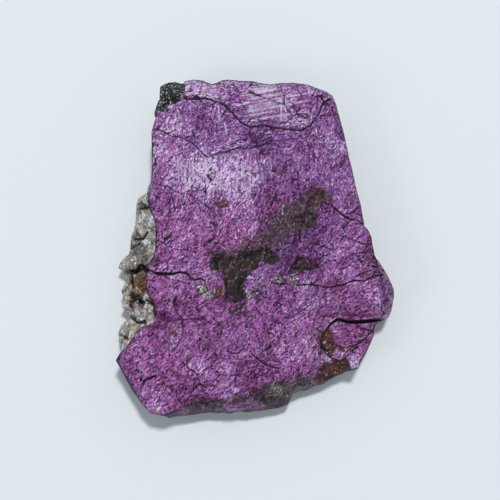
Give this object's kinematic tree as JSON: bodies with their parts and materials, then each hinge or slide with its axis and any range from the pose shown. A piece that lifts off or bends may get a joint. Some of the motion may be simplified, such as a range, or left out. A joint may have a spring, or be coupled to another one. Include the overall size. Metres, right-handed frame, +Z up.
{
  "type": "purpurite mineral specimen",
  "caption": "Small slab of satiny purple purpurite with rusty cracks, dark oxide patches and a rim of pale feldspar and quartz, lying flat on its broken underside.",
  "frame": {"origin": "on the resting plane, under the middle of the stone's outline", "axes": "+Z up, out of the purple cleavage face; +Y along the stone's length, towards the straight end; the pale rim is on the -X side"},
  "size_m": [0.0338, 0.0408, 0.0093],
  "materials": {
    "purpurite": "satin purple cleavage with fine sparkle, dark brown-black broken sides, grey and cream feldspar along one edge"
  },
  "bodies": {
    "root": {"purpurite": "purpurite"}
  },
  "joints": []
}
